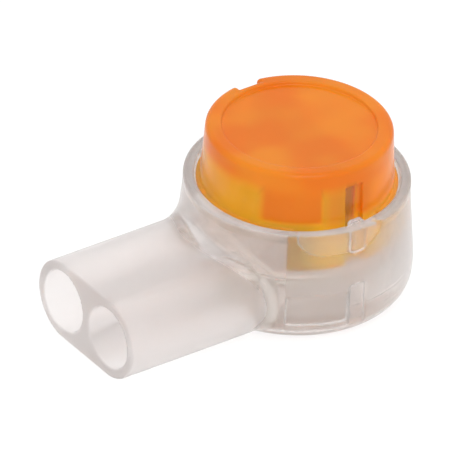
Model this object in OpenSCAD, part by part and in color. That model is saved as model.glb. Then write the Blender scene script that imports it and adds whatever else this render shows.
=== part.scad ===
// Gel-filled wire splice connector: a clear housing with two ports and a press-in amber button.
// Two wires go in at the ports and lie in the channels of the cradle. The button is then pressed
// down until its top is level with the rim, and the slotted contact that it holds cuts through the
// wires' insulation. Sealing gel fills the chamber round the splice.
// The cup's axis is Z, its flat underside is at z = 0, and the ports open toward -X.

/* [Cup] */
// Outer radius of the cup at its rim
rim_r = 6.1; // [5.9:0.05:7]
// Height of the rim above the underside
cup_h = 6.85; // [6.7:0.05:7.6]
// Thickness of the cup's wall at the rim
rim_wall = 0.6; // [0.5:0.05:0.7]
// How much wider the cup is at its mould parting line than at the rim
belly = 0.32; // [0.1:0.02:0.5]
// Height of the mould parting line above the underside
parting_z = 2.28; // [1.8:0.02:2.8]
// Radius of the rounded edge round the underside
base_edge_r = 1.6; // [0.8:0.1:1.7]
// Height of the thin lip at the top of the wall
lip_h = 0.45; // [0.2:0.05:0.8]
// How far the lip stands out from the wall below it
lip_out = 0.03; // [0.02:0.01:0.1]
// Rounding along both edges of the rim
rim_edge_r = 0.12; // [0.05:0.01:0.2]
// Thickness of the chamber floor
floor_t = 0.6; // [0.55:0.05:0.8]
// Radius of the inside corner between the chamber wall and the floor
chamber_corner_r = 0.35; // [0.1:0.05:0.5]

/* [Ports] */
// Inside radius of each port
port_r = 1.76; // [1.4:0.02:1.8]
// Wall thickness round each port
port_wall = 0.53; // [0.45:0.01:0.7]
// Distance between the two port axes
port_pitch = 4.11; // [4:0.01:4.5]
// Distance from the cup's axis to the ends of the ports
port_reach = 13.6; // [10:0.1:18]
// Radius of the hollow fillet where the ports run into the cup
root_r = 0.8; // [0.6:0.05:1.2]

/* [Key tabs and pads] */
// Width of each key tab on the chamber wall
tab_w = 0.85; // [0.5:0.05:1.1]
// How far a key tab stands in from the chamber wall
tab_in = 0.35; // [0.25:0.01:0.38]
// How far a key tab stands above the rim
tab_up = 0.05; // [0:0.01:0.4]
// How far a key tab reaches below the rim
tab_down = 1.75; // [1:0.05:2]
// Play between a key tab and the bottom of its keyway
keyway_play = 0.25; // [0.12:0.01:0.3]
// How far a retaining pad stands in from the chamber wall
pad_in = 0.17; // [0.08:0.01:0.18]
// How far a retaining pad reaches below the rim
pad_down = 1.7; // [1.2:0.05:2]
// Angle from the port side to the middle of a retaining pad
pad_angle = 80; // [76:1:90]
// Half of the angle that a retaining pad covers
pad_half_angle = 25; // [18:1:27]
// Radius of the rounded lower ends of a retaining pad
pad_end_r = 0.9; // [0.3:0.1:1]
// Depth of the lock pockets in the chamber wall
pocket_in = 0.15; // [0.05:0.01:0.25]
// Height of the upper edge of the lock pockets
pocket_top = 2.8; // [2:0.1:3.2]
// Height of the lower edge of the lock pockets
pocket_bottom = 1.1; // [1.05:0.05:1.5]
// Angle from the port side at which a lock pocket starts
pocket_start = 50; // [46:1:60]
// Angle from the port side at which a lock pocket ends
pocket_end = 84; // [70:1:84]
// Height of the top of the guide rib under each key tab
rib_top = 3.05; // [2:0.05:3.4]

/* [Wire cradle] */
// Radius of the largest insulated wire that the splice takes
wire_r = 1.04; // [0.6:0.02:1.1]
// Play between a wire and its channel
wire_play = 0.11; // [0.05:0.01:0.2]
// Height of the cradle's top above the underside
cradle_top = 2.9; // [2.4:0.05:3]
// Half of the cradle's length along the wires
cradle_half_l = 3.2; // [2.6:0.1:3.4]
// Thickness of the wall that stops the wires' ends
stop_t = 0.6; // [0.4:0.05:0.8]

/* [Button] */
// How far the button moves until its top is level with the rim
travel = 3.14; // [2.8:0.02:3.2]
// Radius of the button's flat top with its rounded edge
button_r = 5.02; // [4.7:0.02:5.04]
// Rounding along the button's top edge
button_edge_r = 0.3; // [0.1:0.05:0.4]
// Thickness of the button's disc
disc_t = 1.1; // [0.8:0.05:1.3]
// Radius of the shallow recess in the button's top
recess_r = 4.17; // [3:0.05:4.4]
// Depth of the recess in the button's top
recess_d = 0.2; // [0.1:0.02:0.3]
// Wall thickness of the skirt
skirt_t = 0.6; // [0.45:0.05:0.8]
// Gap all round between the guide lip and the chamber wall
lip_gap = 0.08; // [0.05:0.01:0.12]
// How far the guide lip stands out from the skirt
guide_out = 0.2; // [0.1:0.02:0.26]
// Height of the guide lip
guide_t = 0.25; // [0.15:0.05:0.4]
// How far the guide lip's top lies below the rim, before the button is pressed
guide_down = 0.15; // [0.05:0.05:0.3]
// Gap below the skirt when the button is pressed home
home_gap = 0.45; // [0.1:0.05:0.6]
// Height of the button's four holder blocks, from the disc down
holder_h = 1.9; // [1.4:0.05:2]
// Distance from the middle plane to the inner faces of the holder blocks
holder_in = 2.4; // [2:0.05:2.6]
// Play between the contact's legs and the holder blocks
holder_play = 0.06; // [0.03:0.01:0.15]
// Width of the gate notch in the button's top edge
notch_w = 1.35; // [0.6:0.05:1.6]
// Depth of the gate notch
notch_d = 0.46; // [0.1:0.02:0.5]

/* [Contact] */
// Sheet thickness of the contact
contact_t = 0.4; // [0.3:0.02:0.5]
// Width of the contact across the wires
contact_w = 6; // [5.8:0.05:6.2]
// Gap below the contact's legs when the button is pressed home
leg_gap = 0.17; // [0.1:0.01:0.3]
// Distance between the middles of the contact's two legs
leg_pitch = 2.8; // [2.4:0.1:3.2]
// Width of each wire slot in a leg
slot_w = 0.34; // [0.2:0.02:0.5]
// Width of the flared mouth of a wire slot
slot_mouth_w = 1.3; // [0.8:0.05:1.5]
// Height of the flared mouth of a wire slot
slot_mouth_h = 0.55; // [0.3:0.05:0.7]
// How far a slot reaches above the wire's middle when the button is home
slot_over = 0.8; // [0.6:0.05:1]

/* [Hidden] */
$fn = 96;
// Fit clearances
slide_gap = 0.12;
seat_gap = 0.03;
gel_gap = 0.04;
pad_play = 3;
// Root fillet: how far its edges lie inside the stem and the cup, the angle down each side where it ends,
// the share by which it has shrunk there, and its numbers of rings and steps
root_sink = 0.05;
root_end = 150;
root_shrink = 0.7;
root_turns = 10;
root_flats = 4;
root_steps = 6;
// Overlaps for clean joins and cuts
eps = 0.01;
over = 1;
// Cup
chamber_r = rim_r - rim_wall;
belly_r = rim_r + belly;
base_r = belly_r - base_edge_r;
waist_r = rim_r - lip_out;
waist_z = cup_h - lip_h;
// Ports
port_out_r = port_r + port_wall;
port_z = port_out_r;
port_y = port_pitch / 2;
sides = [-1, 1];
// Press
button_top = cup_h + travel;
skirt_bottom = floor_t + home_gap + travel;
// Key tabs and pads
tab_r = chamber_r - tab_in;
pad_r = chamber_r - pad_in;
tab_chamfer = tab_in / 2;
// Button
guide_r = chamber_r - lip_gap;
skirt_r = guide_r - guide_out;
skirt_in_r = skirt_r - skirt_t;
guide_top = cup_h - guide_down;
guide_bottom = guide_top - guide_t;
disc_bottom = button_top - disc_t;
keyway_w = tab_w + 2 * slide_gap;
keyway_r = tab_r - keyway_play;
pad_middle = 180 - pad_angle;
lip_stop = pad_half_angle + pad_play;
// Wires lie at the ports' own height, and the skirt is cut out over them up to the guide lip
channel_r = wire_r + wire_play;
cradle_r = skirt_in_r - 2 * slide_gap;
arch_top = guide_bottom;
arch_half_w = port_y + port_r + slide_gap;
// Contact, before the button is pressed
leg_x = leg_pitch / 2;
leg_bottom = floor_t + leg_gap + travel;
bridge_top = disc_bottom - seat_gap;
contact_h = bridge_top - leg_bottom;
slot_top = port_z + travel + slot_over;
// Gel
gel_top = leg_bottom - leg_gap / 2;

// Solid ring between two radii and two heights
module ring(r_out, r_in, z0, z1) {
  translate([0, 0, z0])
    difference() {
      cylinder(r = r_out, h = z1 - z0);
      translate([0, 0, -over])
        cylinder(r = r_in, h = z1 - z0 + 2 * over);
    }
}

// Wedge from the axis outward between two angles, for cutting a ring to a length of arc
module wedge(a0, a1, reach, z0, z1) {
  middle = (a0 + a1) / 2;
  half = (a1 - a0) / 2;
  translate([0, 0, z0])
    linear_extrude(z1 - z0)
      polygon([
        [0, 0],
        [reach * cos(middle - half), reach * sin(middle - half)],
        [reach / cos(half) * cos(middle), reach / cos(half) * sin(middle)],
        [reach * cos(middle + half), reach * sin(middle + half)]
      ]);
}

// Extrudes a shape drawn across the ports from x0 to x1, with its first axis along Y and its second along Z
module along_ports(x0, x1) {
  translate([x0, 0, 0])
    rotate([90, 0, 90])
      linear_extrude(x1 - x0)
        children();
}

// Outside of the cup: rounded underside, belly at the parting line, wall drawn in to a thin lip
module cup_outside() {
  rotate_extrude()
    union() {
      polygon([
        [0, 0],
        [base_r, 0],
        [base_r, base_edge_r],
        [belly_r, base_edge_r],
        [belly_r, parting_z],
        [waist_r, waist_z],
        [rim_r, waist_z + lip_out],
        [rim_r, cup_h - rim_edge_r],
        [rim_r - rim_edge_r, cup_h],
        [0, cup_h]
      ]);
      intersection() {
        translate([base_r, base_edge_r])
          circle(r = base_edge_r);
        translate([base_r, 0])
          square([base_edge_r, base_edge_r]);
      }
    }
}

// Chamber inside the cup, with a rounded floor corner and a lead-in at the rim
module chamber() {
  corner_x = chamber_r - chamber_corner_r;
  corner_z = floor_t + chamber_corner_r;
  rotate_extrude()
    union() {
      polygon([
        [0, floor_t],
        [corner_x, floor_t],
        [corner_x, corner_z],
        [chamber_r, corner_z],
        [chamber_r, cup_h - rim_edge_r],
        [chamber_r + rim_edge_r + over, cup_h + over],
        [0, cup_h + over]
      ]);
      intersection() {
        translate([corner_x, corner_z])
          circle(r = chamber_corner_r);
        translate([corner_x, floor_t])
          square([chamber_corner_r, chamber_corner_r]);
      }
    }
}

// Oblong section of the stem that holds both ports
module stem_section(r) {
  for (side = sides)
    translate([side * port_y, port_z])
      circle(r = r);
  translate([-port_y, port_z - r])
    square([port_pitch, 2 * r]);
}

module stem() {
  along_ports(-port_reach, -base_r / 2)
    stem_section(port_out_r);
}

// Hollow fillet round the root of the stem. Each ring stands on the stem's outline, and its curve runs
// from the stem to the cup's wall. Its edges lie a little inside both, and towards the underside the
// fillet grows smaller and sinks in.
function cup_r(z) =
  z < base_edge_r ? base_r + sqrt(max(0, base_edge_r ^ 2 - (base_edge_r - z) ^ 2)) :
  z < parting_z ? belly_r :
  belly_r + (waist_r - belly_r) * (z - parting_z) / (waist_z - parting_z);
function wall_x(p) = -sqrt(max(0, cup_r(p[1]) ^ 2 - p[0] ^ 2));
function curve(a, k, b, t) = (1 - t) ^ 2 * a + 2 * t * (1 - t) * k + t ^ 2 * b;
function root_ring(base, angle) =
  let(
    n = [sin(angle), cos(angle)],
    fade = max(0, abs(angle) - 90) / (root_end - 90),
    size = root_r * (1 - root_shrink * fade),
    sink = root_sink + root_r * fade ^ 2 / 3,
    foot = base + n * (port_out_r - sink),
    head = base + n * (port_out_r + size),
    deep = base + n * (port_out_r - sink - port_wall / 4),
    a = [wall_x(foot) - size, foot[0], foot[1]],
    k = [wall_x(foot), foot[0], foot[1]],
    b = [wall_x(head) + sink, head[0], head[1]]
  )
    concat(
      [for (i = [0:root_steps]) curve(a, k, b, i / root_steps)],
      [
        b + [rim_wall / 2, 0, 0],
        [b[0] + rim_wall / 2, deep[0], deep[1]],
        [a[0], deep[0], deep[1]]
      ]
    );

module root_fillet() {
  turn = [for (i = [0:root_turns]) i * root_end / root_turns];
  rings = concat(
    [for (i = [0:root_turns]) root_ring([-port_y, port_z], -turn[root_turns - i])],
    [for (i = [1:root_flats - 1]) root_ring([-port_y + i * port_pitch / root_flats, port_z], 0)],
    [for (i = [0:root_turns]) root_ring([port_y, port_z], turn[i])]
  );
  m = len(rings[0]);
  last = len(rings) - 1;
  walls = [
    for (i = [0:last - 1], j = [0:m - 1])
      let(p = i * m + j, q = i * m + (j + 1) % m)
        each [[p, q, q + m], [p, q + m, p + m]]
  ];
  ends = [[for (j = [0:m - 1]) m - 1 - j], [for (j = [0:m - 1]) last * m + j]];
  polyhedron(points = [for (r = rings) each r], faces = concat(walls, ends));
}

module port_bores() {
  for (side = sides)
    translate([-port_reach - over, side * port_y, port_z])
      rotate([0, 90, 0])
        cylinder(r = port_r, h = port_reach + over - skirt_in_r);
}

// Key tab: guides the button and keeps it from turning. Its foot and its shoulders are slanted.
module key_tab(bottom, top) {
  intersection() {
    ring(chamber_r + rim_wall / 2, tab_r, bottom, top);
    rotate([90, 0, 0])
      linear_extrude(rim_r)
        polygon([
          [-tab_w / 2, bottom + tab_chamfer],
          [-tab_w / 2 + tab_chamfer, bottom],
          [tab_w / 2 - tab_chamfer, bottom],
          [tab_w / 2, bottom + tab_chamfer],
          [tab_w / 2, top - tab_chamfer],
          [tab_w / 2 - tab_chamfer, top],
          [-tab_w / 2 + tab_chamfer, top],
          [-tab_w / 2, top - tab_chamfer]
        ]);
  }
}

// Retaining pad: a thin band under the rim with rounded lower ends
module retaining_pad() {
  bottom = cup_h - pad_down;
  top = cup_h - 2 * rim_edge_r;
  end_x = chamber_r * sin(pad_half_angle);
  rotate(pad_angle - 90)
    intersection() {
      ring(chamber_r + rim_wall / 2, pad_r, bottom, top);
      rotate([90, 0, 0])
        linear_extrude(rim_r)
          union() {
            for (side = sides)
              translate([side * (end_x - pad_end_r), bottom + pad_end_r])
                circle(r = pad_end_r);
            translate([pad_end_r - end_x, bottom])
              square([2 * (end_x - pad_end_r), pad_down]);
            translate([-end_x, bottom + pad_end_r])
              square([2 * end_x, pad_down]);
          }
    }
}

// Lock pocket: a shallow window in the chamber wall between the ports and the key tab
module lock_pocket() {
  intersection() {
    ring(chamber_r + pocket_in, chamber_r - over, pocket_bottom, pocket_top);
    wedge(180 + pocket_start, 180 + pocket_end, 2 * chamber_r, 0, cup_h);
  }
}

// Cradle on the chamber floor: two open wire channels, an end stop, and slots for the contact's legs
module cradle() {
  intersection() {
    translate([0, 0, floor_t / 2])
      cylinder(r = cradle_r, h = cradle_top - floor_t / 2);
    difference() {
      translate([-cradle_half_l, -cradle_r, 0])
        cube([2 * cradle_half_l, 2 * cradle_r, cradle_top]);
      for (side = sides)
        translate([-cradle_half_l - over, side * port_y, port_z]) {
          rotate([0, 90, 0])
            cylinder(r = channel_r, h = 2 * cradle_half_l + over - stop_t);
          translate([0, -channel_r, 0])
            cube([2 * cradle_half_l + over - stop_t, 2 * channel_r, cradle_top]);
        }
      for (side = sides)
        translate([side * leg_x - contact_t / 2 - slide_gap, -contact_w / 2 - slide_gap, floor_t])
          cube([contact_t + 2 * slide_gap, contact_w + 2 * slide_gap, cradle_top]);
    }
  }
}

module body() {
  color("#DDD4CF", 0.45) {
    difference() {
      union() {
        cup_outside();
        stem();
        root_fillet();
      }
      chamber();
      port_bores();
      for (side = [0, 1])
        mirror([0, side, 0])
          lock_pocket();
    }
    for (side = [0, 1])
      mirror([0, side, 0]) {
        key_tab(cup_h - tab_down, cup_h + tab_up);
        key_tab(floor_t, rib_top);
        retaining_pad();
      }
    cradle();
  }
}

// Outside of the button as a turned shape: rounded top edge, slightly flared skirt, guide lip
module button_outside() {
  edge_x = button_r - button_edge_r;
  edge_z = button_top - button_edge_r;
  rotate_extrude()
    union() {
      polygon([
        [0, skirt_bottom],
        [skirt_r, skirt_bottom],
        [skirt_r, guide_bottom],
        [guide_r, guide_bottom],
        [guide_r, guide_top],
        [skirt_r, guide_top],
        [button_r, edge_z],
        [edge_x, edge_z],
        [edge_x, button_top],
        [0, button_top]
      ]);
      intersection() {
        translate([edge_x, edge_z])
          circle(r = button_edge_r);
        translate([edge_x, edge_z])
          square([button_edge_r, button_edge_r]);
      }
    }
}

// Inside of the skirt, which follows the outside's flare
module button_hollow() {
  flare_in_r = button_r - skirt_t;
  rotate_extrude()
    polygon([
      [0, skirt_bottom - over],
      [skirt_in_r, skirt_bottom - over],
      [skirt_in_r, guide_top],
      [flare_in_r, disc_bottom],
      [0, disc_bottom]
    ]);
}

// Holder blocks: four blocks in the skirt under the disc, and the contact's legs stand between them
module holder() {
  gap_x = leg_x + contact_t / 2 + holder_play;
  intersection() {
    translate([0, 0, disc_bottom - holder_h])
      cylinder(r = skirt_in_r + skirt_t / 4, h = holder_h + eps);
    difference() {
      for (side = [0, 1])
        mirror([0, side, 0])
          translate([-rim_r, holder_in, 0])
            cube([2 * rim_r, rim_r, button_top]);
      translate([-gap_x, -skirt_in_r, 0])
        cube([2 * gap_x, 2 * skirt_in_r, button_top]);
    }
  }
}

module button() {
  color("#F0892D", 0.85)
    difference() {
      union() {
        difference() {
          button_outside();
          button_hollow();
        }
        holder();
      }
      translate([0, 0, button_top - recess_d])
        cylinder(r = recess_r, h = over);
      // Cut-out over the ports, so that the skirt clears the wires
      translate([-rim_r, -arch_half_w, skirt_bottom - over])
        cube([rim_r - skirt_in_r / 2, 2 * arch_half_w, arch_top - skirt_bottom + over]);
      for (side = [0, 1])
        mirror([0, side, 0]) {
          // Keyway for the tab, up to the disc, with a thin web behind it
          translate([-keyway_w / 2, keyway_r, skirt_bottom - over])
            cube([keyway_w, rim_r, disc_bottom - skirt_bottom + over]);
          // The guide lip stops at the retaining pad
          intersection() {
            ring(rim_r, skirt_r, guide_bottom - over, guide_top + over);
            wedge(pad_middle - lip_stop, pad_middle + lip_stop, 2 * rim_r, 0, button_top);
          }
        }
      // Gate notch in the top edge
      translate([-notch_w / 2, button_r - notch_d, disc_bottom])
        cube([notch_w, notch_d + over, disc_t + over]);
    }
}

// Slot that cuts through a wire's insulation, open at the leg's end with a flared mouth
module wire_slot() {
  polygon([
    [-slot_mouth_w / 2, leg_bottom - eps],
    [slot_mouth_w / 2, leg_bottom - eps],
    [slot_w / 2, leg_bottom + slot_mouth_h],
    [slot_w / 2, slot_top],
    [-slot_w / 2, slot_top],
    [-slot_w / 2, leg_bottom + slot_mouth_h]
  ]);
  translate([0, slot_top])
    circle(r = slot_w / 2);
}

// Contact: one strip folded to a U, two legs joined by a bridge
module contact() {
  bend_in_r = contact_t / 2;
  bend_r = bend_in_r + contact_t;
  half_x = leg_x + contact_t / 2;
  color("#B9B6AE")
    difference() {
      translate([0, contact_w / 2, 0])
        rotate([90, 0, 0])
          linear_extrude(contact_w)
            difference() {
              union() {
                for (side = sides)
                  translate([side * (half_x - bend_r), bridge_top - bend_r])
                    circle(r = bend_r);
                translate([bend_r - half_x, leg_bottom])
                  square([2 * (half_x - bend_r), contact_h]);
                translate([-half_x, leg_bottom])
                  square([2 * half_x, contact_h - bend_r]);
              }
              for (side = sides)
                translate([side * (half_x - bend_r), bridge_top - bend_r])
                  circle(r = bend_in_r);
              translate([bend_r - half_x, leg_bottom - over])
                square([2 * (half_x - bend_r), contact_h - contact_t + over]);
              translate([contact_t - half_x, leg_bottom - over])
                square([2 * (half_x - contact_t), contact_h - bend_r + over]);
            }
      for (side = sides)
        translate([0, side * port_y, 0])
          along_ports(-half_x - over, half_x + over)
            wire_slot();
    }
}

// Gel: fills the chamber round the cradle, up to just below the contact's legs
module gel() {
  chamber_fill_r = chamber_r - gel_gap;
  color("#E8E2D6", 0.35)
    difference() {
      union() {
        translate([0, 0, floor_t + gel_gap])
          cylinder(r = chamber_fill_r - chamber_corner_r, h = gel_top - floor_t - gel_gap);
        translate([0, 0, floor_t + gel_gap + chamber_corner_r])
          cylinder(r = chamber_fill_r, h = gel_top - floor_t - gel_gap - chamber_corner_r);
      }
      intersection() {
        cylinder(r = cradle_r + gel_gap, h = cradle_top + gel_gap);
        translate([-cradle_half_l - gel_gap, -cradle_r - gel_gap, 0])
          cube([2 * (cradle_half_l + gel_gap), 2 * (cradle_r + gel_gap), cradle_top + gel_gap]);
      }
      // Room for the guide ribs on the wall
      for (side = [0, 1])
        mirror([0, side, 0])
          translate([-tab_w / 2 - gel_gap, tab_r - gel_gap, 0])
            cube([tab_w + 2 * gel_gap, rim_r, rib_top + gel_gap]);
      // The gel stops where the ports end
      port_bores();
    }
}

body();
button();
contact();
gel();
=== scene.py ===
"""Two-port gel-filled wire splice: a clear moulded housing with an amber press button, which holds a
tinned contact over the wires' channels. Shapes are worked out in millimetres and made in metres, in the
CAD frame: the cup's axis is Z, its underside is at z = 0, and the ports open towards -X."""

import math

import bpy
import numpy as np
from mathutils import Matrix, Vector


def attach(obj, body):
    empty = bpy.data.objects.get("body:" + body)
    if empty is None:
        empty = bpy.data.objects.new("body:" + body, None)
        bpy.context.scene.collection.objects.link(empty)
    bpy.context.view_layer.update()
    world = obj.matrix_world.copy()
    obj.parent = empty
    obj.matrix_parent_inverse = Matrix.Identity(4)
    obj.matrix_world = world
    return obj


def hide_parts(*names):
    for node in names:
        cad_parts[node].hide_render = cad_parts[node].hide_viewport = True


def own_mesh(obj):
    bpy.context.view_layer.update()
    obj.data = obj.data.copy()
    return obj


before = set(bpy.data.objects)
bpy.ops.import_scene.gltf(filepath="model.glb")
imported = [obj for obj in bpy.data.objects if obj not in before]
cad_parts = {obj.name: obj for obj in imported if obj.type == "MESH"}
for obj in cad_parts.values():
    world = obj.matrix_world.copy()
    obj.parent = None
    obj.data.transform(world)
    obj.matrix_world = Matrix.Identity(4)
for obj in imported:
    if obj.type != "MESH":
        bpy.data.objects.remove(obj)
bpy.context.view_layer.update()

MM = 0.001
# How far a cut or a hidden end reaches past what it has to reach
OVER = 1
# How deep a piece is sunk into what it stands on, so that the two become one
SINK = 0.1

# Fit clearances and the button's stroke, as in the CAD source
SLIDE_GAP = 0.12
HOLDER_PLAY = 0.06
GEL_GAP = 0.04
TRAVEL = 3.14

# Cup
RIM_R = 6.1
RIM_WALL = 0.6
RIM_EDGE_R = 0.12
CUP_H = 6.85
BELLY_R = 6.42
BASE_EDGE_R = 1.6
LIP_H = 0.45
LIP_OUT = 0.03
PARTING_Z = 2.28
PARTING_W = 0.05
PARTING_D = 0.03
# The wall above the parting line rises this much for each millimetre that it leans in
WALL_RISE = 12
FLOOR_T = 0.6
CHAMBER_R = RIM_R - RIM_WALL
CHAMBER_CORNER_R = 0.35

# Ports
PORT_R = 1.76
PORT_WALL = 0.53
PORT_Y = 2.055
PORT_Z = PORT_R + PORT_WALL
PORT_REACH = 13.6
MOUTH_EDGE_R = 0.1
BORE_EDGE_R = 0.06
STEM_START = -2
# The root's fillet grows from almost nothing at its lower end to its full radius
ROOT_R = 0.8
ROOT_LEAST_R = 0.02
ROOT_LOW = 0.2
ROOT_GROWTH_H = 2.2

# Key tabs, guide ribs, retaining pads and lock pockets on the chamber wall
TAB_W = 0.85
TAB_R = CHAMBER_R - 0.35
TAB_TOP = CUP_H + 0.05
TAB_BOTTOM = CUP_H - 1.75
RIB_TOP = 3.05
PAD_R = CHAMBER_R - 0.17
PAD_TOP = CUP_H - 2 * RIM_EDGE_R
PAD_BOTTOM = CUP_H - 1.6
PAD_ANGLE = 80
PAD_HALF_ANGLE = 25
PAD_PLAY_ANGLE = 3
PAD_END_R = 1.3
POCKET_IN = 0.15
POCKET_TOP = 2.8
POCKET_BOTTOM = 1.1
POCKET_START = 50
POCKET_END = 84

# Button
BUTTON_TOP = CUP_H + TRAVEL
BUTTON_R = 5.02
BUTTON_EDGE_R = 0.3
DISC_T = 1.1
DISC_BOTTOM = BUTTON_TOP - DISC_T
RECESS_R = 4.17
RECESS_D = 0.2
GUIDE_R = CHAMBER_R - 0.08
GUIDE_OUT = 0.2
GUIDE_TOP = CUP_H - 0.15
GUIDE_BOTTOM = GUIDE_TOP - 0.25
SKIRT_R = GUIDE_R - GUIDE_OUT
SKIRT_T = 0.6
SKIRT_IN_R = SKIRT_R - SKIRT_T
SKIRT_BOTTOM = FLOOR_T + 0.45 + TRAVEL
KEYWAY_HALF_W = TAB_W / 2 + SLIDE_GAP
KEYWAY_R = TAB_R - 0.25
ARCH_X = -SKIRT_IN_R / 2
ARCH_HALF_W = PORT_Y + PORT_R + SLIDE_GAP
NOTCH_HALF_W = 0.675
NOTCH_D = 0.46

# Contact's legs, the holder blocks beside them, and the slots that let them pass
LEG_X = 1.4
LEG_T = 0.4
LEG_HALF_L = 3
LEG_SLOT_HALF_W = LEG_T / 2 + SLIDE_GAP
LEG_SLOT_HALF_L = LEG_HALF_L + SLIDE_GAP
HOLDER_GAP_X = LEG_X + LEG_T / 2 + HOLDER_PLAY
HOLDER_IN = 2.4
HOLDER_H = 1.9

# Cradle on the floor, with the wires' channels
CRADLE_TOP = 2.9
CRADLE_HALF_L = 3.2
CRADLE_R = SKIRT_IN_R - 2 * SLIDE_GAP
STOP_T = 0.6
CHANNEL_R = 1.15

# Gel, with the dip between its climbing edges
GEL_FLOOR = FLOOR_T + GEL_GAP
GEL_R = CHAMBER_R - GEL_GAP
GEL_TOP = 3.82
MENISCUS_D = 0.14
MENISCUS_W = 0.9


def joined(a, b, fillet=0.0):
    """Union of two distance fields, with a hollow fillet where they meet."""
    if np.all(np.asarray(fillet) == 0):
        return np.minimum(a, b)
    corner = np.hypot(np.maximum(fillet - a, 0), np.maximum(fillet - b, 0))
    return np.maximum(fillet, np.minimum(a, b)) - corner


def common(a, b, edge=0.0):
    """Intersection of two distance fields, with a rounded edge where they meet."""
    return -joined(-a, -b, edge)


def cut(a, b, edge=0.0):
    """The first field with the second one taken out, and the cut's edge rounded."""
    return common(a, -b, edge)


def between(value, low, high):
    """Distance to the slab between two values."""
    return np.maximum(low - value, value - high)


def rounded(corners, step=math.radians(15)):
    """A closed outline, with each corner (x, y, radius) turned into an arc."""
    outline = []
    for i, (x, y, radius) in enumerate(corners):
        here = np.array([x, y], float)
        if radius == 0:
            outline.append(here)
            continue
        back = np.array(corners[i - 1][:2]) - here
        ahead = np.array(corners[(i + 1) % len(corners)][:2]) - here
        back = back / np.linalg.norm(back)
        ahead = ahead / np.linalg.norm(ahead)
        half = math.acos(float(np.clip(back @ ahead, -1, 1))) / 2
        middle = (back + ahead) / np.linalg.norm(back + ahead)
        centre = here + middle * radius / math.sin(half)
        start = here + back * radius / math.tan(half) - centre
        end = here + ahead * radius / math.tan(half) - centre
        from_angle = math.atan2(start[1], start[0])
        turn = (math.atan2(end[1], end[0]) - from_angle + math.pi) % (2 * math.pi) - math.pi
        parts = max(2, math.ceil(abs(turn) / step))
        for k in range(parts + 1):
            angle = from_angle + turn * k / parts
            outline.append(centre + radius * np.array([math.cos(angle), math.sin(angle)]))
    return np.array(outline)


def outline_distance(outline, x, y):
    """Signed distance from points to a closed outline, negative inside."""
    nearest = np.full(x.shape, np.inf)
    inside = np.zeros(x.shape, bool)
    for (ax, ay), (bx, by) in zip(outline, np.roll(outline, -1, axis=0)):
        ex, ey, wx, wy = bx - ax, by - ay, x - ax, y - ay
        share = np.clip((wx * ex + wy * ey) / (ex * ex + ey * ey), 0, 1)
        nearest = np.minimum(nearest, (wx - ex * share) ** 2 + (wy - ey * share) ** 2)
        side = ex * wy - ey * wx
        inside ^= ((ay <= y) & (by > y) & (side > 0)) | ((ay > y) & (by <= y) & (side < 0))
    return np.where(inside, -1, 1) * np.sqrt(nearest)


def turned(corners, x, y, z):
    """Distance to a turned shape, drawn as radius and height."""
    return outline_distance(rounded(corners), np.hypot(x, y), z)


def chamber_fill(floor, reach, top, x, y, z):
    """Distance to a turned filling of the chamber, with the chamber's rounded lower edge."""
    return turned([
        (-OVER, floor, 0), (reach, floor, CHAMBER_CORNER_R), (reach, top, 0), (-OVER, top, 0)], x, y, z)


def along_x(x, y, z, radius, low, high, edge=0.0):
    """Distance to the two round rods, one on each port's axis, between two places along X."""
    return common(np.hypot(np.abs(y) - PORT_Y, z - PORT_Z) - radius, between(x, low, high), edge)


def bores(x, y, z, edge):
    """Distance to the ports' bores, which run into the chamber as far as the skirt's inner wall."""
    return along_x(x, y, z, PORT_R, -PORT_REACH - OVER, -SKIRT_IN_R, edge)


def past_angle(radius, angle, middle, half):
    """Distance past the ends of a stretch of the wall, given by its middle and half its angle in degrees."""
    return radius * np.sin(np.radians(np.clip(np.abs(angle - middle) - half, -90, 90)))


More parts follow.
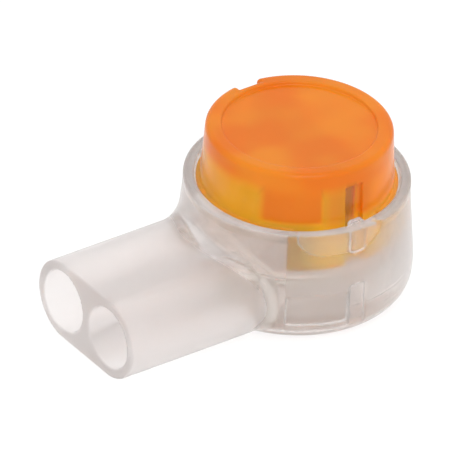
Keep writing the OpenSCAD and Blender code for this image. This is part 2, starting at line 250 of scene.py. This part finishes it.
def housing(x, y, z):
    """The clear housing: the cup, the stem with its bores, and all that stands in the chamber."""
    radius = np.hypot(x, y)
    side = np.abs(y)
    from_ports = np.degrees(np.arctan2(side, -x))
    # Cup with its belly, parting line and lip
    cup = turned([
        (-OVER, 0, 0),
        (BELLY_R, 0, BASE_EDGE_R),
        (BELLY_R, PARTING_Z - PARTING_W, 0),
        (BELLY_R - PARTING_D, PARTING_Z, 0),
        (BELLY_R - PARTING_W / WALL_RISE, PARTING_Z + PARTING_W, 0),
        (RIM_R - LIP_OUT, CUP_H - LIP_H, 0),
        (RIM_R, CUP_H - LIP_H + LIP_OUT, 0),
        (RIM_R, CUP_H, RIM_EDGE_R),
        (-OVER, CUP_H, 0)], x, y, z)
    # Oblong stem, blended into the cup
    section = np.hypot(np.maximum(side - PORT_Y, 0), z - PORT_Z) - PORT_Z
    stem = common(section, between(x, -PORT_REACH, STEM_START), MOUTH_EDGE_R)
    rise = np.clip((z - ROOT_LOW) / ROOT_GROWTH_H, 0, 1)
    solid = joined(cup, stem, ROOT_LEAST_R + ROOT_R * rise * rise * (3 - 2 * rise))
    solid = np.maximum(solid, -z)
    # Chamber and bores
    chamber = chamber_fill(FLOOR_T, CHAMBER_R, CUP_H + 2 * OVER, x, y, z)
    solid = cut(solid, chamber, RIM_EDGE_R)
    solid = cut(solid, bores(x, y, z, BORE_EDGE_R))
    # Lock pockets
    pocket_middle = (POCKET_START + POCKET_END) / 2
    pocket_half = (POCKET_END - POCKET_START) / 2
    window = between(radius, CHAMBER_R - OVER, CHAMBER_R + POCKET_IN)
    window = np.maximum(window, between(z, POCKET_BOTTOM, POCKET_TOP))
    window = common(window, past_angle(radius, from_ports, pocket_middle, pocket_half), edge=0.1)
    solid = cut(solid, window)
    # Key tabs at the rim, and guide ribs in line with them on the floor
    for bottom, top in ((TAB_BOTTOM, TAB_TOP), (FLOOR_T - SINK, RIB_TOP)):
        tab = common(np.abs(x) - TAB_W / 2, between(z, bottom, top), edge=0.15)
        tab = common(tab, between(radius, TAB_R, CHAMBER_R + RIM_WALL / 2), edge=0.06)
        solid = joined(solid, tab, fillet=0.03)
    # Retaining pads, with rounded lower ends
    lean = math.radians(PAD_ANGLE)
    along = x * math.sin(lean) + side * math.cos(lean)
    ahead = side * math.sin(lean) - x * math.cos(lean)
    end = CHAMBER_R * math.sin(math.radians(PAD_HALF_ANGLE))
    pad = rounded([
        (-end, PAD_BOTTOM, PAD_END_R), (end, PAD_BOTTOM, PAD_END_R), (end, PAD_TOP, 0), (-end, PAD_TOP, 0)])
    pad = np.maximum(outline_distance(pad, along, z), -ahead)
    pad = common(pad, between(radius, PAD_R, CHAMBER_R + RIM_WALL / 2), edge=0.12)
    solid = joined(solid, pad)
    # Cradle, with the wires' channels and the slots for the contact's legs
    cradle = np.maximum(radius - CRADLE_R, np.abs(x) - CRADLE_HALF_L)
    cradle = np.maximum(cradle, between(z, FLOOR_T / 2, CRADLE_TOP))
    channel_ends = (-CRADLE_HALF_L - OVER, CRADLE_HALF_L - STOP_T)
    channels = along_x(x, y, z, CHANNEL_R, *channel_ends)
    open_top = np.maximum(np.abs(side - PORT_Y) - CHANNEL_R, between(x, *channel_ends))
    channels = np.minimum(channels, np.maximum(open_top, PORT_Z - z))
    legs = np.maximum(np.abs(np.abs(x) - LEG_X) - LEG_SLOT_HALF_W, side - LEG_SLOT_HALF_L)
    legs = np.maximum(legs, FLOOR_T - z)
    cradle = cut(cut(cradle, channels, edge=0.05), legs)
    return joined(solid, cradle, fillet=0.05)


def press_button(x, y, z):
    """The amber button: disc, skirt with guide lip, and the holder blocks for the contact inside it."""
    radius = np.hypot(x, y)
    side = np.abs(y)
    from_ports = np.degrees(np.arctan2(side, -x))
    # Outside, flared down to the guide lip, which is left out under the retaining pads
    solid = turned([
        (-OVER, SKIRT_BOTTOM, 0),
        (SKIRT_R, SKIRT_BOTTOM, 0.05),
        (SKIRT_R, GUIDE_TOP, 0),
        (BUTTON_R, BUTTON_TOP, BUTTON_EDGE_R),
        (-OVER, BUTTON_TOP, 0)], x, y, z)
    guide = between(radius, SKIRT_R - SINK, GUIDE_R)
    guide = common(guide, between(z, GUIDE_BOTTOM, GUIDE_TOP), edge=0.06)
    guide = np.maximum(guide, -past_angle(radius, from_ports, PAD_ANGLE, PAD_HALF_ANGLE + PAD_PLAY_ANGLE))
    solid = joined(solid, guide, fillet=0.03)
    # Hollow inside
    hollow = turned([
        (-OVER, SKIRT_BOTTOM - OVER, 0),
        (SKIRT_IN_R, SKIRT_BOTTOM - OVER, 0),
        (SKIRT_IN_R, GUIDE_TOP, 0),
        (BUTTON_R - SKIRT_T, DISC_BOTTOM, 0.15),
        (-OVER, DISC_BOTTOM, 0)], x, y, z)
    solid = cut(solid, hollow, edge=0.05)
    # Holder blocks under the disc, on both sides of the contact
    holder = np.maximum(HOLDER_IN - side, radius - SKIRT_R + SKIRT_T / 2)
    holder = np.maximum(holder, between(z, DISC_BOTTOM - HOLDER_H, DISC_BOTTOM + SINK))
    holder = cut(holder, np.abs(x) - HOLDER_GAP_X, edge=0.08)
    solid = joined(solid, holder, fillet=0.08)
    # Shallow recess in the top
    recess = turned([
        (-OVER, BUTTON_TOP - RECESS_D, 0),
        (RECESS_R, BUTTON_TOP - RECESS_D, 0.06),
        (RECESS_R, BUTTON_TOP + OVER, 0),
        (-OVER, BUTTON_TOP + OVER, 0)], x, y, z)
    solid = cut(solid, recess, edge=0.07)
    # Cut-out over the ports, keyways for the tabs, and the gate notch on the far side
    arch = np.maximum(x - ARCH_X, side - ARCH_HALF_W)
    arch = np.maximum(arch, z - GUIDE_BOTTOM)
    solid = cut(solid, arch, edge=0.04)
    keyway = np.maximum(np.abs(x) - KEYWAY_HALF_W, KEYWAY_R - side)
    keyway = np.maximum(keyway, z - DISC_BOTTOM)
    solid = cut(solid, keyway, edge=0.04)
    notch = np.maximum(np.abs(x) - NOTCH_HALF_W, BUTTON_R - NOTCH_D - y)
    notch = np.maximum(notch, DISC_BOTTOM - z)
    return cut(solid, notch, edge=0.2)


def gel_fill(x, y, z):
    """The gel: it fills the chamber round the cradle and the ribs, and climbs a little at the wall."""
    radius = np.hypot(x, y)
    side = np.abs(y)
    fill = chamber_fill(GEL_FLOOR, GEL_R, GEL_TOP + 2 * OVER, x, y, z)
    dip = MENISCUS_D * np.clip((GEL_R - radius) / MENISCUS_W, 0, 1)
    fill = common(fill, z - GEL_TOP + dip * (2 - dip / MENISCUS_D), edge=0.03)
    cradle = np.maximum(radius - CRADLE_R - GEL_GAP, np.abs(x) - CRADLE_HALF_L - GEL_GAP)
    cradle = np.maximum(cradle, z - CRADLE_TOP - GEL_GAP)
    fill = cut(fill, cradle, edge=0.03)
    rib = np.maximum(np.abs(x) - TAB_W / 2 - GEL_GAP, TAB_R - GEL_GAP - side)
    rib = np.maximum(rib, z - RIB_TOP - GEL_GAP)
    fill = cut(fill, rib)
    return cut(fill, bores(x, y, z, edge=0.03))


# A grid cell's corners, and its edges as pairs of them
CORNERS = np.array([(i, j, k) for i in (0, 1) for j in (0, 1) for k in (0, 1)])
EDGES = [(a, b) for a in range(8) for b in range(a + 1, 8) if np.abs(CORNERS[a] - CORNERS[b]).sum() == 1]


def rows(*stretches):
    """Grid places for a mesh: stretches of (from, to, step), in order."""
    return np.concatenate([
        np.linspace(start, end, max(1, round((end - start) / step)), endpoint=False)
        for start, end, step in stretches])


def halves(start, end, step):
    """Grid places on both sides of the middle plane."""
    away = rows((start, end, step)) + step / 2
    return np.concatenate([-away[::-1], away])


def skin(name, shape, axes, cell, mirrored=True):
    """A mesh of a shape's surface: one point in each grid cell that it crosses, pulled on to the surface.
    Where both sides of the middle plane are alike, only one is worked out."""
    sizes = [len(a) for a in axes]
    if mirrored:
        half = shape(*np.meshgrid(axes[0], axes[1][sizes[1] // 2:], axes[2], indexing="ij"))
        value = np.concatenate([half[:, ::-1], half], 1)
    else:
        value = shape(*np.meshgrid(*axes, indexing="ij"))
    inside = value < 0
    last = [size - 1 for size in sizes]
    corner_in = [inside[i:i + last[0], j:j + last[1], k:k + last[2]] for i, j, k in CORNERS]
    crossed = np.logical_or.reduce(corner_in) & ~np.logical_and.reduce(corner_in)
    cells = np.argwhere(crossed)
    number = np.full(crossed.shape, -1)
    number[crossed] = np.arange(len(cells))
    # Each point starts at the mean of the places where the surface crosses its cell's edges
    corner_value = [value[tuple((cells + c).T)] for c in CORNERS]
    place = np.zeros((len(cells), 3))
    hits = np.zeros((len(cells), 1))
    for a, b in EDGES:
        f, g = corner_value[a], corner_value[b]
        over = (f < 0) != (g < 0)
        share = np.where(over, f / np.where(over, f - g, 1), 0)[:, None]
        place += np.where(over[:, None], CORNERS[a] + share * (CORNERS[b] - CORNERS[a]), 0)
        hits += over[:, None]
    place = place / hits
    points = np.stack([a[c] + s * (a[c + 1] - a[c]) for a, c, s in zip(axes, cells.T, place.T)], 1)
    # A few short steps down the slope of the field bring it on to the surface
    nudge = cell / 50
    least_slope = 0.25
    for _ in range(4):
        off = shape(*points.T)
        slope = np.stack([
            (shape(*(points + d).T) - shape(*(points - d).T)) / (2 * nudge) for d in np.eye(3) * nudge], 1)
        step = slope * (off / np.maximum((slope ** 2).sum(1), least_slope))[:, None]
        length = np.linalg.norm(step, axis=1, keepdims=True)
        points -= step * np.minimum(1, cell / 3 / np.maximum(length, 1e-9))
    # A face for each grid edge that the surface crosses joins the points of the four cells round it
    faces = []
    for axis in range(3):
        lower = np.take(inside, range(last[axis]), axis)
        upper = np.take(inside, range(1, sizes[axis]), axis)
        at = np.argwhere(lower != upper)
        u = np.eye(3, dtype=int)[(axis + 1) % 3]
        w = np.eye(3, dtype=int)[(axis + 2) % 3]
        quad = np.stack([number[tuple((at - d).T)] for d in (0 * u, u, u + w, w)], 1)
        outward = lower[tuple(at.T)]
        faces.append(np.where(outward[:, None], quad, quad[:, ::-1]))
    mesh = bpy.data.meshes.new(name)
    mesh.from_pydata((points * MM).tolist(), [], np.concatenate(faces).tolist())
    mesh.validate()
    mesh.shade_smooth()
    piece = bpy.data.objects.new(name, mesh)
    bpy.context.scene.collection.objects.link(piece)
    return piece


def linear(hex_colour):
    """An sRGB hex colour as the linear values that the shaders take."""
    channels = [int(hex_colour[i:i + 2], 16) / 255 for i in (1, 3, 5)]
    values = [c / 12.92 if c <= 0.04045 else ((c + 0.055) / 1.055) ** 2.4 for c in channels]
    return (*values, 1.0)


def add(tree, kind, settings=(), inputs=()):
    """Adds a node, sets its properties and fills its sockets, by name or number, with values or links."""
    node = tree.nodes.new(kind)
    for name, value in dict(settings).items():
        setattr(node, name, value)
    for name, value in dict(inputs).items():
        if isinstance(value, bpy.types.NodeSocket):
            tree.links.new(value, node.inputs[name])
        else:
            node.inputs[name].default_value = value
    return node


def new_material(name):
    """An empty node material, its tree, and object coordinates, which are the frame's metres."""
    material = bpy.data.materials.new(name)
    material.use_nodes = True
    tree = material.node_tree
    tree.nodes.clear()
    return material, tree, add(tree, "ShaderNodeTexCoord").outputs["Object"]


def uneven(tree, points, grain_mm, strength, height_mm):
    """The faint unevenness of a moulded surface, as a bump with its real height."""
    grain = add(tree, "ShaderNodeTexNoise", {}, {
        "Vector": points, "Scale": 1 / (grain_mm * MM), "Detail": 3.0})
    return add(tree, "ShaderNodeBump", {}, {
        "Strength": strength, "Distance": height_mm * MM, "Height": grain.outputs["Fac"]}).outputs["Normal"]


# Clear polypropylene copolymer, injection moulded: see-through but a little milky, with a faint pink cast.
# The stem is hazier than the cup, and the chamber's wall is duller away from the stem.
def clear_polypropylene():
    material, tree, points = new_material("clear_moulded_polypropylene")
    across_cup = add(tree, "ShaderNodeVectorMath", {"operation": "MULTIPLY"}, {0: points, 1: (1, 1, 0)})
    reach = add(tree, "ShaderNodeVectorMath", {"operation": "LENGTH"}, {0: across_cup.outputs[0]})
    reach = reach.outputs["Value"]
    x = add(tree, "ShaderNodeSeparateXYZ", {}, {"Vector": points}).outputs["X"]
    # Soft-edged zones of the finish, each with where it starts and where it is full
    zone = {}
    for name, value, start, full in (
            ("stem", reach, 6.5 * MM, 7.0 * MM),
            ("tab_depth", reach, 5.0 * MM, 5.1 * MM),
            ("off_wall", reach, 5.49 * MM, 5.42 * MM),
            ("wall_and_in", reach, 5.58 * MM, 5.5 * MM),
            ("off_stem", x, -3.65 * MM, -3.4 * MM)):
        zone[name] = add(tree, "ShaderNodeMapRange", {"interpolation_type": "SMOOTHSTEP"}, {
            "Value": value, "From Min": start, "From Max": full}).outputs["Result"]
    # The faces that stand in from the wall, such as the tabs and pads, and the wall without them
    proud = add(tree, "ShaderNodeMath", {"operation": "MULTIPLY"}, {
        0: zone["tab_depth"], 1: zone["off_wall"]}).outputs[0]
    wall = add(tree, "ShaderNodeMath", {"operation": "SUBTRACT", "use_clamp": True}, {
        0: zone["wall_and_in"], 1: proud}).outputs[0]
    dull = add(tree, "ShaderNodeMath", {"operation": "MULTIPLY"}, {0: wall, 1: zone["off_stem"]}).outputs[0]
    # Roughness: a slightly cloudy gloss, with the stem's haze and the wall's dullness on top
    stem_haze = 0.13
    wall_dullness = 0.16
    haze = add(tree, "ShaderNodeTexNoise", {}, {"Vector": points, "Scale": 1 / (2.5 * MM), "Detail": 2.0})
    gloss = add(tree, "ShaderNodeMapRange", {}, {
        "Value": haze.outputs["Fac"], "From Min": 0.3, "From Max": 0.7, "To Min": 0.2, "To Max": 0.24})
    rough = add(tree, "ShaderNodeMath", {"operation": "MULTIPLY_ADD"}, {
        0: zone["stem"], 1: stem_haze, 2: gloss.outputs["Result"]}).outputs[0]
    rough = add(tree, "ShaderNodeMath", {"operation": "MULTIPLY_ADD"}, {
        0: dull, 1: wall_dullness, 2: rough}).outputs[0]
    clear = add(tree, "ShaderNodeMapRange", {}, {
        "Value": zone["stem"], "To Min": 1.0, "To Max": 0.95}).outputs["Result"]
    clear = add(tree, "ShaderNodeMix", {"data_type": "FLOAT"}, {0: proud, 2: clear, 3: 0.85}).outputs[0]
    shader = add(tree, "ShaderNodeBsdfPrincipled", {}, {
        "Base Color": linear("#FFFCFB"), "Roughness": rough, "IOR": 1.49,
        "Transmission Weight": clear,
        "Normal": uneven(tree, points, grain_mm=0.6, strength=0.25, height_mm=0.02)})
    # The milkiness scatters light in the wall's depth, and the cast takes some of it
    milk = add(tree, "ShaderNodeVolumeScatter", {}, {
        "Color": linear("#FFFFFF"), "Density": 350.0, "Anisotropy": 0.75})
    cast = add(tree, "ShaderNodeVolumeAbsorption", {}, {"Color": linear("#D4D0CF"), "Density": 160.0})
    depth = add(tree, "ShaderNodeAddShader", {}, {0: milk.outputs["Volume"], 1: cast.outputs["Volume"]})
    add(tree, "ShaderNodeOutputMaterial", {}, {
        "Surface": shader.outputs["BSDF"], "Volume": depth.outputs["Shader"]})
    return material


# Polypropylene dyed amber, injection moulded, with few reflections: the thin walls of the skirt look yellow
# and let much light through, and the thick disc and holder blocks look deep orange and cloudy.
def amber_polypropylene():
    material, tree, points = new_material("amber_moulded_polypropylene")
    place = add(tree, "ShaderNodeSeparateXYZ", {}, {"Vector": points})
    x = place.outputs["X"]
    z = place.outputs["Z"]
    across_cup = add(tree, "ShaderNodeVectorMath", {"operation": "MULTIPLY"}, {0: points, 1: (1, 1, 0)})
    outward = add(tree, "ShaderNodeVectorMath", {"operation": "NORMALIZE"}, {0: across_cup.outputs[0]})
    outward = add(tree, "ShaderNodeVectorMath", {"operation": "ABSOLUTE"}, {0: outward.outputs[0]})
    to_side = add(tree, "ShaderNodeSeparateXYZ", {}, {"Vector": outward.outputs[0]}).outputs["Y"]
    cloud = add(tree, "ShaderNodeTexNoise", {}, {"Vector": points, "Scale": 1 / (3.5 * MM), "Detail": 1.0})
    # Soft-edged zones of the finish, and of painted shade and light, each with where it starts and where it
    # is full
    zone = {}
    for name, value, start, full in (
            ("disc", z, 8.3 * MM, 9.3 * MM),
            ("block_height", z, 6.8 * MM, 7.2 * MM),
            ("block_side", to_side, 0.47, 0.58),
            ("port_block", x, -1.7 * MM, -2.0 * MM),
            ("far_block", x, 0.15 * MM, 0.5 * MM),
            ("web_start", x, -0.6 * MM, -0.5 * MM),
            ("web_end", x, 0.25 * MM, 0.1 * MM),
            ("low_skirt", z, 7.2 * MM, 5.8 * MM),
            ("shaded_arch_side", x, -1.5 * MM, -3.0 * MM),
            ("skirt_middle", x, -2.0 * MM, -1.2 * MM),
            ("lit_far_side", x, 0.6 * MM, 1.6 * MM),
            ("cloudy", cloud.outputs["Fac"], 0.35, 0.65)):
        zone[name] = add(tree, "ShaderNodeMapRange", {"interpolation_type": "SMOOTHSTEP"}, {
            "Value": value, "From Min": start, "From Max": full}).outputs["Result"]
    # Where the plastic looks thick: the disc, and the skirt by the holder blocks, on the far side up to the
    # keyway, because the block there is seen through the skirt at a slant
    disc = zone["disc"]
    ends = add(tree, "ShaderNodeMath", {"operation": "ADD"}, {
        0: zone["port_block"], 1: zone["far_block"]}).outputs[0]
    block = add(tree, "ShaderNodeMath", {"operation": "MULTIPLY"}, {
        0: zone["block_side"], 1: zone["block_height"]}).outputs[0]
    block = add(tree, "ShaderNodeMath", {"operation": "MULTIPLY"}, {0: block, 1: ends}).outputs[0]
    thick = add(tree, "ShaderNodeMath", {"operation": "MAXIMUM"}, {0: block, 1: disc}).outputs[0]
    # The thin web at the bottom of the keyway is clearer, most of all towards the ports
    web = add(tree, "ShaderNodeMath", {"operation": "MULTIPLY"}, {
        0: zone["web_start"], 1: zone["web_end"]}).outputs[0]
    web = add(tree, "ShaderNodeMath", {"operation": "SUBTRACT"}, {0: web, 1: thick}).outputs[0]
    clear = add(tree, "ShaderNodeMapRange", {}, {
        "Value": thick, "To Min": 0.6, "To Max": 0.3}).outputs["Result"]
    clear = add(tree, "ShaderNodeMix", {"data_type": "FLOAT", "clamp_factor": True}, {
        0: web, 2: clear, 3: 0.9}).outputs[0]
    # Colour: each tone goes from its first colour, or earlier tone, to its second inside a zone
    tone = {}
    for name, inside, first, second in (
            # The lower skirt turns a darker olive towards the arch over the ports: painted shade
            ("low_skirt", zone["shaded_arch_side"], linear("#FFD80D"), linear("#CBAD19")),
            ("high_skirt", zone["skirt_middle"], linear("#FFBF0D"), linear("#FFAA10")),
            # The blocks' orange turns lighter towards the far side, +X: painted light
            ("block", zone["lit_far_side"], linear("#EA8112"), linear("#FA9312")),
            ("disc", zone["cloudy"], linear("#EF8012"), linear("#F3931D")),
            ("skirt", zone["low_skirt"], "high_skirt", "low_skirt"),
            ("wall", block, "skirt", "block"),
            ("button", disc, "wall", "disc")):
        tone[name] = add(tree, "ShaderNodeMix", {"data_type": "RGBA"}, {
            "Factor": inside, 6: tone.get(first, first), 7: tone.get(second, second)}).outputs[2]
    shader = add(tree, "ShaderNodeBsdfPrincipled", {}, {
        "Base Color": tone["button"], "Roughness": 0.2, "IOR": 1.5, "Specular IOR Level": 0.1,
        "Transmission Weight": clear,
        "Normal": uneven(tree, points, grain_mm=0.5, strength=0.3, height_mm=0.02)})
    dye = add(tree, "ShaderNodeVolumeAbsorption", {}, {"Color": linear("#FFE759"), "Density": 300.0})
    add(tree, "ShaderNodeOutputMaterial", {}, {
        "Surface": shader.outputs["BSDF"], "Volume": dye.outputs["Volume"]})
    return material


# Tin plate over brass strip, rolled and stamped: a soft grey sheen with faint rolling marks across the legs.
# Real marks are finer than 0.08 mm, and are drawn that coarse to show at all.
def tin_plate():
    material, tree, points = new_material("tin_plated_brass")
    stretch = add(tree, "ShaderNodeMapping", {}, {"Vector": points, "Scale": (1.0, 0.05, 1.0)})
    marks = add(tree, "ShaderNodeTexNoise", {}, {
        "Vector": stretch.outputs["Vector"], "Scale": 1 / (0.08 * MM), "Detail": 2.0})
    rough = add(tree, "ShaderNodeMapRange", {}, {
        "Value": marks.outputs["Fac"], "To Min": 0.28, "To Max": 0.42})
    shader = add(tree, "ShaderNodeBsdfPrincipled", {}, {
        "Base Color": linear("#C9C5BD"), "Metallic": 1.0, "Roughness": rough.outputs["Result"]})
    add(tree, "ShaderNodeOutputMaterial", {}, {"Surface": shader.outputs["BSDF"]})
    return material


# Clear sealing gel, a soft polymer gel poured into the chamber: wet, smooth and almost as clear as the walls.
def sealing_gel():
    material, tree, points = new_material("clear_sealing_gel")
    shader = add(tree, "ShaderNodeBsdfPrincipled", {}, {
        "Base Color": linear("#FCFAF6"), "Roughness": 0.06, "IOR": 1.46, "Transmission Weight": 1.0,
        "Normal": uneven(tree, points, grain_mm=1.5, strength=0.4, height_mm=0.03)})
    depth = add(tree, "ShaderNodeVolumeAbsorption", {}, {"Color": linear("#D8D4CB"), "Density": 90.0})
    add(tree, "ShaderNodeOutputMaterial", {}, {
        "Surface": shader.outputs["BSDF"], "Volume": depth.outputs["Volume"]})
    return material


# Each grid reaches a little past its shape, with steps in millimetres. The housing's is coarse along the
# plain stem, and fine at the underside and the parting line.
housing_cell = 0.115
mouth_end = -13.2
root_start = -7.4
seam_low = PARTING_Z - 0.1
seam_high = PARTING_Z + 0.1
housing_shell = skin("housing_shell", housing, (
    rows((-13.72, mouth_end, 0.1), (mouth_end, root_start, 0.29), (root_start, 6.6, housing_cell)),
    halves(0, 6.6, housing_cell),
    rows((-0.13, 0.02, 0.05), (0.02, seam_low, 0.108), (seam_low, seam_high, 0.04), (seam_high, 7.1, 0.118))),
    housing_cell)
housing_shell.data.materials.append(clear_polypropylene())
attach(housing_shell, "housing")
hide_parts("body")

button_cell = 0.085
amber_press_button = skin("amber_press_button", press_button, (
    halves(0, 5.6, button_cell),
    halves(0, 5.6, button_cell),
    rows((4.03, 10.15, button_cell))), button_cell, mirrored=False)
amber_press_button.data.materials.append(amber_polypropylene())
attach(amber_press_button, "press")
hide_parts("button")

gel_cell = 0.12
gel_cell_across = 0.15
gel_filling = skin("gel_filling", gel_fill, (
    halves(0, 5.7, gel_cell_across),
    halves(0, 5.7, gel_cell_across),
    rows((0.51, 4.1, gel_cell))), gel_cell)
gel_filling.data.materials.append(sealing_gel())
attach(gel_filling, "housing")
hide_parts("gel")
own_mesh(gel_filling)

# The contact keeps its CAD shape, and its stamped edges are broken.
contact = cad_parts["contact"]
contact.data.materials.clear()
contact.data.materials.append(tin_plate())
stamped_edges = contact.modifiers.new("stamped_edges", "BEVEL")
stamped_edges.width = 0.04 * MM
stamped_edges.segments = 2
stamped_edges.limit_method = "ANGLE"


def shows_background(tree):
    """1 for rays from the camera, in a reflection or through clear plastic, which see plain white."""
    path = add(tree, "ShaderNodeLightPath")
    seen = add(tree, "ShaderNodeMath", {"operation": "MAXIMUM"}, {
        0: path.outputs["Is Camera Ray"], 1: path.outputs["Is Glossy Ray"]})
    return add(tree, "ShaderNodeMath", {"operation": "MAXIMUM"}, {
        0: seen.outputs[0], 1: path.outputs["Is Transmission Ray"]}).outputs[0]


# Matt studio paper: it looks white where it is seen, keeps a soft shadow, and lights the part as pale paper.
def studio_paper():
    material, tree, _ = new_material("studio_paper")
    shadowed = add(tree, "ShaderNodeBsdfDiffuse", {}, {"Color": linear("#959595")})
    glow = add(tree, "ShaderNodeEmission", {}, {"Color": linear("#FFFFFF"), "Strength": 0.74})
    white = add(tree, "ShaderNodeAddShader", {}, {0: shadowed.outputs[0], 1: glow.outputs[0]})
    paper = add(tree, "ShaderNodeBsdfDiffuse", {}, {"Color": linear("#EDEDED")})
    mix = add(tree, "ShaderNodeMixShader", {}, {
        "Fac": shows_background(tree), 1: paper.outputs[0], 2: white.outputs[0]})
    add(tree, "ShaderNodeOutputMaterial", {}, {"Surface": mix.outputs[0]})
    return material


def studio_floor():
    """A round sheet of paper, just under the part."""
    radius = 450 * MM
    drop = 0.02 * MM
    sides = 64
    angles = [2 * math.pi * i / sides for i in range(sides)]
    corners = [(radius * math.cos(angle), radius * math.sin(angle), -drop) for angle in angles]
    mesh = bpy.data.meshes.new("studio_floor")
    mesh.from_pydata(corners, [], [list(range(sides))])
    mesh.materials.append(studio_paper())
    floor = bpy.data.objects.new("studio_floor", mesh)
    bpy.context.scene.collection.objects.link(floor)


def studio_world():
    """An even white room."""
    world = bpy.data.worlds.new("studio")
    bpy.context.scene.world = world
    world.use_nodes = True
    tree = world.node_tree
    tree.nodes.clear()
    room = add(tree, "ShaderNodeBackground", {}, {"Color": linear("#FFFFFF"), "Strength": 0.98})
    white = add(tree, "ShaderNodeBackground", {}, {"Color": linear("#FFFFFF"), "Strength": 1.0})
    mix = add(tree, "ShaderNodeMixShader", {}, {
        "Fac": shows_background(tree), 1: room.outputs[0], 2: white.outputs[0]})
    add(tree, "ShaderNodeOutputWorld", {}, {"Surface": mix.outputs[0]})


def soft_box(name, place_mm, size_mm, watts):
    """A square soft box that points at the middle of the part."""
    lamp = bpy.data.lights.new(name, "AREA")
    lamp.shape = "SQUARE"
    lamp.size = size_mm * MM
    lamp.energy = watts
    box = bpy.data.objects.new(name, lamp)
    bpy.context.scene.collection.objects.link(box)
    place = Vector(place_mm) * MM
    part_middle = Vector((0, 0, 5)) * MM
    box.location = place
    box.rotation_mode = "QUATERNION"
    box.rotation_quaternion = (part_middle - place).to_track_quat("-Z", "Y")


def photo_camera():
    """The camera that the photograph was taken with: a long lens, a little rolled."""
    turn = math.radians(-36.989)
    rise = math.radians(33.416)
    roll = math.radians(2.816)
    distance = 663.04
    off_right = -3.5128
    off_up = 2.9098
    back = Vector((math.sin(turn) * math.cos(rise), -math.cos(turn) * math.cos(rise), math.sin(rise)))
    level = Vector((math.cos(turn), math.sin(turn), 0))
    upright = back.cross(level)
    right = level * math.cos(roll) + upright * math.sin(roll)
    up = upright * math.cos(roll) - level * math.sin(roll)
    camera = bpy.data.cameras.new("photo_camera")
    camera.lens = 984.4
    camera.sensor_width = 36
    camera.clip_start = 10 * MM
    camera.clip_end = 2000 * MM
    holder = bpy.data.objects.new("photo_camera", camera)
    bpy.context.scene.collection.objects.link(holder)
    stand = Matrix((right, up, back)).transposed().to_4x4()
    stand.translation = (right * off_right + up * off_up + back * distance) * MM
    holder.matrix_world = stand
    bpy.context.scene.camera = holder


studio_floor()
studio_world()
soft_box("key_box", place_mm=(-70, -170, 250), size_mm=180, watts=0.25)
photo_camera()
bpy.context.scene.view_settings.view_transform = "Standard"

# Light that passes many times inside the clear walls is followed to its end, and without the filter on
# blurred light, or the walls go grey.
light_paths = bpy.context.scene.cycles
light_paths.max_bounces = 32
light_paths.diffuse_bounces = 12
light_paths.glossy_bounces = 24
light_paths.transmission_bounces = 24
light_paths.volume_bounces = 24
light_paths.blur_glossy = 0.0
